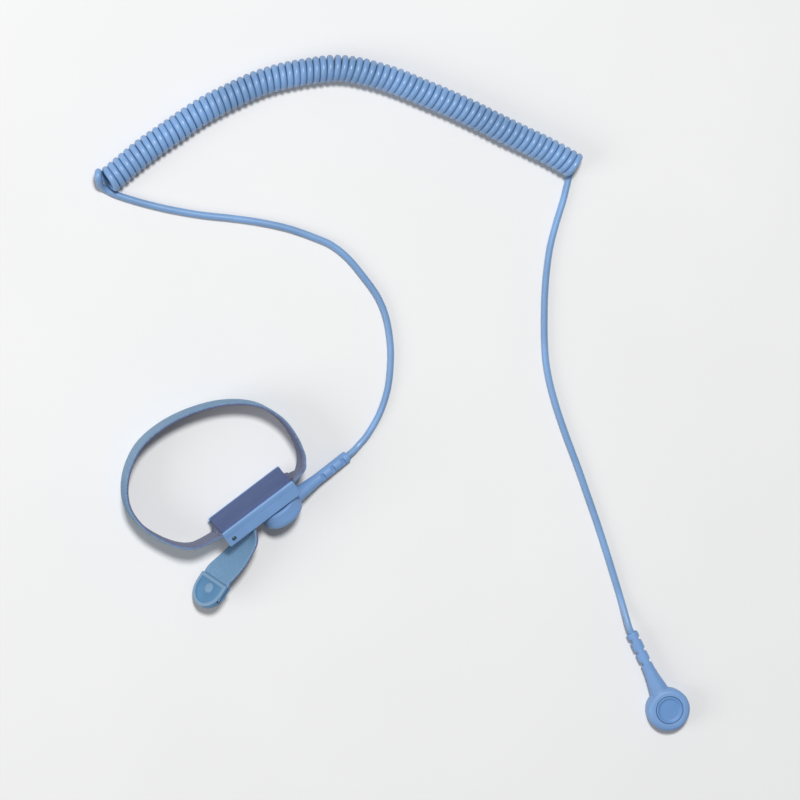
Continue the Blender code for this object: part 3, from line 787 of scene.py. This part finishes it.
def make_cord():
    coil = coil_points()
    first = lead_points(WRIST_PLUG, WRIST_BOOT_SLOPE, WRIST_LEAD_ROUTE)
    last = lead_points(GROUND_PLUG, 0.0, GROUND_LEAD_ROUTE[::-1])[::-1]
    hook = [Vector(point) for point in COIL_HOOK]
    points = evenly(through(first + hook + [coil[0], coil[2]]), CORD_SPACING)[:-1]
    points += coil[2:-3]
    points += evenly(through([coil[-3], coil[-1]] + last), CORD_SPACING)
    nodes = ("cord_lead_wrist", "cord_coil", "cord_lead_ground")
    cord = wire("curly_cord", points, CORD_DIAMETER, "cord_jacket", "cord_set", nodes, 6)
    return cord, first[0] * MM


# ---------------------------------------------------------------- plugs
def sloped(bm, slope):
    for vert in bm.verts:
        vert.co.z += slope * (vert.co.x - BOOT_ROOT)
    return bm


def neck_rings():
    """Neck from the head down to the notched boot, as rings that taper smoothly."""
    shape = (
        (6.4, 3.95, 3.0),
        (8.0, 3.75, 2.9),
        (10.0, 3.45, 2.75),
        (12.5, 3.0, 2.6),
        (16.0, 2.5, 2.42),
        (19.0, BOOT_HALF, BOOT_HALF),
        (24.0, BOOT_HALF, BOOT_HALF),
        (30.0, BOOT_HALF, BOOT_HALF),
        (BOOT_LENGTH - 0.5, BOOT_HALF, BOOT_HALF),
        (BOOT_LENGTH - 0.1, BOOT_HALF - 0.15, BOOT_HALF - 0.15),
        (BOOT_LENGTH, BOOT_HALF - 0.35, BOOT_HALF - 0.35),
    )
    sides = 48
    rings = []
    for x, wide, high in through([Vector(station) for station in shape], 4):
        angles = [math.tau * step / sides for step in range(sides)]
        rings.append([(x, wide * math.cos(a), BOOT_LINE + high * math.sin(a)) for a in angles])
    return rings


def plug_shell(slope):
    """Head with a socket pocket below and a cap seat above, and a neck to a notched boot."""
    outline = [
        (0, POCKET_DEPTH),
        (POCKET_RADIUS, POCKET_DEPTH),
        (POCKET_RADIUS, 0.25),
        (POCKET_RADIUS + 0.25, 0),
        (PLUG_RADIUS - 0.7, 0),
        (PLUG_RADIUS, 0.6),
        (PLUG_RADIUS, PLUG_HEIGHT - 1.9),
        (PLUG_RADIUS - 0.35, PLUG_HEIGHT - 0.75),
        (PLUG_RADIUS - 1.05, PLUG_HEIGHT - 0.12),
        (PLUG_RADIUS - 1.8, PLUG_HEIGHT),
        (SEAT_RADIUS + 0.2, PLUG_HEIGHT),
        (SEAT_RADIUS, PLUG_HEIGHT - 0.2),
        (SEAT_RADIUS, SEAT_FLOOR),
        (0, SEAT_FLOOR),
    ]
    shell = working(turned(outline))
    carved(shell, sloped(loft(neck_rings()), slope), "UNION")
    for x in NOTCH_PLACES:
        for side in (CORE_HALF, -CORE_HALF):
            low, high = sorted((side, side * 4))
            cutter = block((x - NOTCH_WIDTH / 2, low, -1), (x + NOTCH_WIDTH / 2, high, 11))
            carved(shell, cutter)
    for start, end, radius in BOOT_BORES:
        carved(shell, sloped(rod((start, 0, BOOT_LINE), (end, 0, BOOT_LINE), radius), slope))
    changed(shell, "REMESH", mode="VOXEL", voxel_size=PLUG_VOXEL)
    changed(shell, "SMOOTH", factor=0.5, iterations=5)
    return changed(shell, "DECIMATE", ratio=PLUG_FACES_KEPT)


def plug_cap():
    """Dished cap pressed into the head, with a raised rim."""
    outline = [
        (0, SEAT_FLOOR + 0.25),
        (CAP_RADIUS - 0.1, SEAT_FLOOR + 0.25),
        (CAP_RADIUS, SEAT_FLOOR + 0.4),
        (CAP_RADIUS, PLUG_HEIGHT - 0.2),
        (CAP_RADIUS - 0.15, PLUG_HEIGHT - 0.06),
        (CAP_RADIUS - 0.6, PLUG_HEIGHT - 0.04),
        (CAP_RADIUS - 1.1, PLUG_HEIGHT - 0.4),
        (CAP_RADIUS - 1.6, PLUG_HEIGHT - 0.5),
        (0, PLUG_HEIGHT - 0.42),
    ]
    return working(turned(rounded(outline, 0.15)))


def ring_points(radius, height, matrix):
    """Open ring of spring wire, its gap on the side away from the boot."""
    gap, steps = 40, 72
    points = []
    for step in range(steps + 1):
        angle = math.radians(180 + gap / 2 + (360 - gap) * step / steps)
        points.append(matrix @ Vector((radius * math.cos(angle), radius * math.sin(angle), height)))
    return points


def socket_shape(radius, mouth, base):
    """Drawn metal socket with a rolled mouth and a flange."""
    outline = [
        (0, 4.3),
        (radius, 4.3),
        (radius, mouth + 0.4),
        (radius - 0.35 if mouth > 0.6 else radius, mouth + 0.1),
        (radius - 0.3 if mouth > 0.6 else radius, mouth - 0.2),
        (SOCKET_FLANGE, base),
        (SOCKET_FLANGE, base + 0.35),
        (radius + 0.45, base + 0.45),
        (radius + 0.4, 4.6),
        (0, 4.6),
    ]
    return working(turned(rounded(outline, 0.15)))


def make_wrist_plug():
    body = "cord_set"
    shell, nodes = plug_shell(WRIST_BOOT_SLOPE), ["wrist_plug_body"]
    placed("wrist_plug_shell", shell, WRIST_PLUG, "blue_moulding", body, nodes, PLUG_SMOOTH)
    placed("wrist_plug_lid", plug_cap(), WRIST_PLUG, "blue_moulding", body, ["wrist_plug_cap"])
    socket = socket_shape(*WRIST_SOCKET)
    placed("wrist_socket", socket, WRIST_PLUG, "nickel_plate", body, ["wrist_snap_socket"])
    radius, height = WRIST_RING
    points = ring_points(radius, PLUG_OFFSET + height, SNAP)
    nodes = ["wrist_snap_spring"]
    wire("wrist_spring_ring", points, SPRING_WIRE, "spring_steel", "snap_spring", nodes, 3)


def make_ground_plug():
    body = "cord_set"
    shell, nodes = plug_shell(0.0), ["ground_plug_body"]
    placed("ground_plug_shell", shell, GROUND_PLUG, "blue_moulding", body, nodes, PLUG_SMOOTH)
    lid, nodes = plug_cap(), ["ground_plug_cap"]
    finish = moulded("lid", (100, 142, 194))
    placed("ground_plug_lid", lid, GROUND_PLUG, "blue_moulding", body, nodes, finish=finish)
    socket, nodes = socket_shape(*GROUND_SOCKET), ["ground_snap_socket"]
    placed("ground_socket", socket, GROUND_PLUG, "nickel_plate", body, nodes)
    points, nodes = ring_points(*GROUND_RING, GROUND_PLUG), ["ground_snap_spring"]
    spring = wire("ground_spring_ring", points, SPRING_WIRE, "spring_steel", body, nodes, 3)
    return [shell, lid, socket, spring]


# ---------------------------------------------------------------- wristband
def band_stations():
    """Middle line of the band from its sewn end to its tip: places, and the way across it."""
    upright = Vector((0, 0, 1))
    leaning = BUCKLE.to_3x3() @ upright
    stations = []

    def inside(x, y, raised=0.0):
        stations.append((BUCKLE @ Vector((x, y, 0)), leaning.lerp(upright, raised)))

    inside(15.6, ANCHOR_PIN[1] - WRAP_RADIUS)
    pin_x, pin_y = ANCHOR_PIN
    for step in range(5):
        angle = math.radians(-90 - 45 * step)
        inside(pin_x + WRAP_RADIUS * math.cos(angle), pin_y + WRAP_RADIUS * math.sin(angle))
    inside(15.7, 1.5, 0.25)
    inside(17.2, 0.65, 0.6)
    inside(19.2, 0.45, 0.95)
    last = len(LOOP_ROUTE) - 1
    for step, (x, y) in enumerate(LOOP_ROUTE):
        lift = LOOP_LIFT.get(min(step, last - step), 0)
        stations.append((Vector((x, y, BAND_WIDTH / 2 + lift)), upright))
    inside(-19.2, 0.45, 0.95)
    inside(-17.6, 0.9, 0.55)
    inside(-16.2, 1.85, 0.08)
    for x, y in (
        (-14.2, BAND_LINE),
        (-11.8, BAND_LINE),
        (-9.6, BAND_LINE - 0.2),
        (-7.2, 0.6),
        (-5.7, -1.4),
        (-5.3, -3.3),
    ):
        inside(x, y)
    plan = [Vector((x, y)) for x, y, _, _ in TAIL_ROUTE]
    plan.append((TIP @ Vector((-TIP_LENGTH, 0, 0))).xy)
    for step, (x, y, height, lean) in enumerate(TAIL_ROUTE):
        heading = (plan[step + 1] - plan[max(step - 1, 0)]).normalized()
        outwards = Vector((-heading.y, heading.x, 0))
        angle = math.radians(lean)
        leant = upright * math.cos(angle) + outwards * math.sin(angle)
        stations.append((Vector((x, y, height)), leant))
    for step in range(5):
        back = TIP_LENGTH + 2.4 - (TIP_GRIP + 2.4) * step / 4
        stations.append((TIP @ Vector((-back, 0, 0)), TIP.to_3x3() @ upright))
    return stations


def band_section():
    """(across, out, wrist side) round the band's section: two faces with round selvedges."""
    half, thick = BAND_WIDTH / 2, BAND_THICK / 2
    places = []
    for side in (1, -1):
        for step in range(WALES * POINTS_PER_WALE + 1):
            part = step / (WALES * POINTS_PER_WALE)
            places.append((side * (half - SELVEDGE) * (1 - 2 * part), side * thick, side < 0))
        for step in range(1, 6):
            angle = math.pi * step / 6
            across = -side * (half - SELVEDGE + SELVEDGE * math.sin(angle))
            places.append((across, side * thick * math.cos(angle), side * math.cos(angle) < 0))
    return places


def make_band():
    stations = band_stations()
    curve = through([place for place, _ in stations])
    sides = []
    for (_, a), (_, b) in zip(stations, stations[1:]):
        sides += [a.lerp(b, step / SPAN_STEPS) for step in range(SPAN_STEPS)]
    sides.append(stations[-1][1])
    both = [Vector((*place, *side)) for place, side in zip(curve, sides)]
    lengths = running_lengths(curve)
    section = band_section()
    bm = bmesh.new()
    layers = {key: bm.verts.layers.float.new(key) for key in ("along", "across", "wrist_side")}
    rings = []
    for wanted, place, part in even_steps(lengths, RING_SPACING):
        here = both[place].lerp(both[place + 1], part)
        centre, side = Vector(here[:3]), Vector(here[3:])
        along = (curve[place + 1] - curve[place]).normalized()
        side = (side - along * side.dot(along)).normalized()
        out = along.cross(side).normalized()
        ring = []
        for across, lift, wrist_side in section:
            wale = (across / BAND_WIDTH + 0.5) * WALES
            rib = math.cos(math.tau * wale)
            stitch = math.cos(math.tau * (wanted / COURSE + (0.5 if int(wale) % 2 else 0)))
            flat = min(1.0, (BAND_WIDTH / 2 - abs(across)) / 0.8)
            dip = KNIT_DEPTH * flat * (0.35 + 0.35 * rib + 0.15 * (1 - stitch) * (1 - rib) / 2)
            if abs(lift) > BAND_THICK * 0.45:
                lift -= math.copysign(dip, lift)
            vert = bm.verts.new(centre + side * across + out * lift)
            vert[layers["along"]] = wanted
            vert[layers["across"]] = wale
            vert[layers["wrist_side"]] = 1.0 if wrist_side else 0.0
            ring.append(vert)
        rings.append(ring)
    band, nodes = working(skinned(bm, rings)), ["wrist_band"]
    placed("woven_band", band, Matrix.Identity(4), "elastic_webbing", "wristband", nodes, 70)
    return band, lengths[-1] * MM


def tip_outline(inset):
    """Tongue shape: square at the band, half an ellipse at the free end."""
    reach = TIP_HALF - inset
    outline = [(-TIP_LENGTH + inset, -reach)]
    outline += [
        (-TIP_HALF + reach * math.cos(a), reach * math.sin(a))
        for a in (math.radians(-90 + 6 * step) for step in range(31))
    ]
    outline.append((-TIP_LENGTH + inset, reach))
    return outline


def make_tip():
    """Stiff moulded end with a raised rim, and the rivet through it."""
    upright = turn("X", 90)
    half = TIP_THICK / 2
    tip = working(moved(prism(tip_outline(0), -half, half), upright))
    softened(tip, 0.55, 4, 30)
    for side in (1, -1):
        low, high = sorted((side * (half - TIP_PANEL_DEPTH), side * (half + 1)))
        carved(tip, moved(prism(tip_outline(TIP_RIM), low, high), upright))
    slot = BAND_THICK / 2 + TIP_SLOT_GAP
    carved(tip, block((-TIP_LENGTH - 1, -slot, -9), (-TIP_LENGTH + TIP_GRIP + 0.3, slot, 9)))
    softened(tip, 0.12, 2, 50)
    end = placed("stiff_tip", tip, TIP, "blue_trim", "wristband", ["band_end_tip"], 35, True)
    reach = half - TIP_PANEL_DEPTH
    outline = [
        (0, -reach - 0.55),
        (1.5, -reach - 0.5),
        (2.3, -reach - 0.1),
        (2.3, -reach + 0.05),
        (RIVET_RADIUS, -reach + 0.1),
        (RIVET_RADIUS, reach - 0.1),
        (2.3, reach - 0.05),
        (2.3, reach + 0.1),
        (1.5, reach + 0.5),
        (0, reach + 0.55),
    ]
    rivet = working(moved(turned(rounded(outline, 0.25)), upright, shift(RIVET_X, 0, 0)))
    return end, placed("tip_rivet", rivet, TIP, "blue_trim", "wristband", ["end_tip_rivet"])


# ---------------------------------------------------------------- buckle
def make_housing():
    half, deep = BUCKLE_LENGTH / 2, BUCKLE_THICK / 2
    face = -deep + BUCKLE_FACE
    housing = working(block((-half, -deep, -BUCKLE_HALF), (half, deep, BUCKLE_HALF)))
    changed(housing, "BEVEL", width=0.7, segments=5)
    window = LEVER_HALF + 0.3
    carved(housing, block((-half - 1, face, -CHANNEL_HALF), (half + 1, deep + 1, CHANNEL_HALF)))
    carved(housing, block((-half - 1, -deep - 1, -window), (SLOT_LEFT, face + 1, window)))
    low = (SLOT_LEFT - 0.01, -deep - 1, -CHANNEL_HALF)
    carved(housing, block(low, (SLOT_RIGHT, face + 1, CHANNEL_HALF)))
    # A parting groove runs along both side walls, where the cover meets the frame.
    for side in (1, -1):
        low, high = sorted((side * (BUCKLE_HALF - GROOVE_DEPTH), side * (BUCKLE_HALF + 1)))
        carved(housing, block((-half - 1, GROOVE[0], low), (half + 1, GROOVE[1], high)))
    for (x, y), radius, top in ((LATCH_PIN, LATCH_BORE, 10), (ANCHOR_PIN, 1.0, BUCKLE_HALF - 0.4)):
        carved(housing, rod((x, y, -10), (x, y, top), radius))
    carved(housing, rod((STUD_X, -deep - 1, 0), (STUD_X, face + 1, 0), STUD_HOLE))
    recess = rod((STUD_X, -deep - 1, 0), (STUD_X, -deep + WASHER_DEPTH, 0), WASHER_RECESS, 96)
    carved(housing, recess)
    softened(housing, 0.1, 2, 50)
    nodes = ["buckle_housing"]
    placed("buckle_shell", housing, BUCKLE, "blue_moulding", "wristband", nodes, 40, True)


def make_plate():
    """Wrist-side plate with round corners and soft edges."""
    half_x, half_z, corner = BUCKLE_LENGTH / 2 - 0.4, BAND_WIDTH / 2, 1.4
    outline = []
    for quarter, (x, z) in enumerate(((1, 1), (-1, 1), (-1, -1), (1, -1))):
        for step in range(9):
            angle = math.radians(90 * quarter + 90 * step / 8)
            along = x * (half_x - corner) + corner * math.cos(angle)
            outline.append((along, z * (half_z - corner) + corner * math.sin(angle)))
    deep = BUCKLE_THICK / 2
    plate = working(moved(prism(outline, -deep, -deep + PLATE_THICK), turn("X", 90)))
    softened(plate, 0.14, 3, 50)
    # Spot welds hold the plate to the frame behind it, near its corners.
    lows = ((0, -0.14), (0.35, -0.1), (0.62, 0.02), (0.62, 1), (0, 1))
    dish = [(radius, deep + height) for radius, height in lows]
    for x in (-half_x + WELD_INSET, half_x - WELD_INSET):
        for z in (-half_z + WELD_INSET, half_z - WELD_INSET):
            carved(plate, moved(turned(dish, 24), turn("X", -90), shift(x, 0, z)))
    placed("wrist_plate", plate, BUCKLE, "wrist_plate", "wristband", ["back_plate"], 35, True)


def make_lever():
    """Clamp lever: flat plate with finger ridges, and a toothed cam round its pin."""
    outer, inner = -LEVER_TOP, -LEVER_TOP + LEVER_PLATE
    outline = [(LEVER_REACH, outer + 0.3), (LEVER_REACH, inner)]
    start = math.degrees(math.asin(inner / CAM_RADIUS))
    for step in range(CAM_TEETH + 1):
        angle = math.radians(start + (185 - start) * step / CAM_TEETH)
        radius = CAM_RADIUS - (TOOTH_DEPTH if step % 2 and 3 < step < 11 else 0)
        outline.append((radius * math.cos(angle), radius * math.sin(angle)))
    # The heel keeps to the cam's radius, so it clears the band as the lever opens.
    for angle in map(math.radians, (200, 215, 230, 244)):
        outline.append((CAM_RADIUS * math.cos(angle), CAM_RADIUS * math.sin(angle)))
    outline.append((-0.6, outer))
    for step in range(3):
        x = LEVER_REACH - 3.3 + RIDGE_PITCH * step
        outline += [(x, outer), (x + 0.2, outer - 0.2), (x + 0.5, outer - 0.2), (x + 0.7, outer)]
    outline.append((LEVER_REACH - 0.3, outer))
    lever = working(prism(outline, -LEVER_HALF, LEVER_HALF))
    softened(lever, 0.09, 2, 30)
    carved(lever, rod((0, 0, -9), (0, 0, 9), LATCH_BORE))
    finish = moulded("lever", (106, 145, 192))
    placed("clamp_lever", lever, LATCH, "blue_trim", "latch", ["latch_lever"], 35, True, finish)


def make_pins():
    """Both steel pins, with chamfered ends."""
    reach = BUCKLE_HALF - 0.2
    for name, node, (x, y), radius, top in (
        ("lever_pin", "latch_pin", LATCH_PIN, 0.65, reach),
        ("sewn_end_pin", "band_anchor_pin", ANCHOR_PIN, 0.7, BUCKLE_HALF - 0.9),
    ):
        outline = [
            (0, -reach),
            (radius - 0.15, -reach),
            (radius, -reach + 0.15),
            (radius, top - 0.15),
            (radius - 0.15, top),
            (0, top),
        ]
        pin = working(moved(turned(rounded(outline, 0.08), 48), shift(x, y, 0)))
        placed(name, pin, BUCKLE, "spring_steel", "wristband", [node])


def make_snap():
    """Stud, its rivet and the contact washer, about the snap's axis."""
    shapes = (
        (
            "stud",
            "snap_stud",
            (
                (0, 7.2),
                (0.9, 7.0),
                (0.9, 3.4),
                (3.5, 3.4),
                (3.55, 3.7),
                (3.2, 3.95),
                (1.7, 4.15),
                (1.5, 4.6),
                (1.5, 6.0),
                (2.0, 6.7),
                (2.0, 7.3),
                (1.4, 8.0),
                (0, 8.2),
            ),
        ),
        (
            "stud_rivet_head",
            "stud_rivet",
            ((0, 0.9), (1.9, 0.9), (2.2, 1.1), (2.2, 1.4), (0.6, 1.4), (0.6, 6.6), (0, 6.6)),
        ),
        ("contact_ring", "contact_washer", ((0.9, 1.7), (2.9, 1.7), (2.9, 2.0), (0.9, 2.0))),
    )
    for name, node, outline in shapes:
        piece = working(turned(rounded(list(outline), 0.12), 72))
        placed(name, piece, SNAP, "nickel_plate", "wristband", [node])


# ---------------------------------------------------------------- inner pieces kept from the frame
def finish_kept_nodes():
    """Inner pieces whose plain shape is right keep it and get their finish."""
    kept = {
        "wrist_socket_terminal": "nickel_plate",
        "resistor": "resistor_body",
        "resistor_lead_inner": "nickel_plate",
        "resistor_lead_outer": "nickel_plate",
        "wrist_wire_crimp": "nickel_plate",
        "wrist_conductor": "tinsel_copper",
        "ground_socket_terminal": "nickel_plate",
        "ground_wire_crimp": "nickel_plate",
        "ground_conductor": "tinsel_copper",
    }
    for node, slot in kept.items():
        mesh = frame["nodes"][node].data
        mesh.materials.clear()
        mesh.materials.append(FINISH[slot])


# ---------------------------------------------------------------- floor and light
def make_light(name, place, target, size, power):
    """Round soft lamp, its size in metres and its power in watts."""
    data = bpy.data.lights.new(name, "AREA")
    data.shape = "DISK"
    data.size = size
    data.energy = power
    light = bpy.data.objects.new(name, data)
    light.location = place
    light.rotation_euler = (Vector(target) - Vector(place)).to_track_quat("-Z", "Y").to_euler()
    bpy.context.scene.collection.objects.link(light)


def make_studio():
    bm = bmesh.new()
    bmesh.ops.create_grid(bm, x_segments=1, y_segments=1, size=4)
    floor = working(bm)
    floor.name = "floor"
    floor.data.materials.append(floor_finish("floor", (228, 228, 228)))
    low, high = cad_box
    centre = (low + high) / 2
    make_light("key", centre + Vector((-0.2, 0.85, 2.3)), centre, 0.42, 50)
    make_light("fill", centre + Vector((-1.4, -0.3, 0.8)), centre, 1.0, 8)
    world = bpy.data.worlds.new("studio")
    world.use_nodes = True
    background = world.node_tree.nodes["Background"]
    background.inputs["Color"].default_value = (0.97, 0.98, 1.0, 1)
    background.inputs["Strength"].default_value = 0.22
    bpy.context.scene.world = world
    bpy.context.scene.view_settings.view_transform = "Standard"


# ---------------------------------------------------------------- the whole
make_camera()
cord, cord_exit = make_cord()
make_wrist_plug()
ground_pieces = make_ground_plug()
band, band_length = make_band()
tip, tip_rivet = make_tip()
make_housing()
make_plate()
make_lever()
make_pins()
make_snap()
finish_kept_nodes()
make_studio()
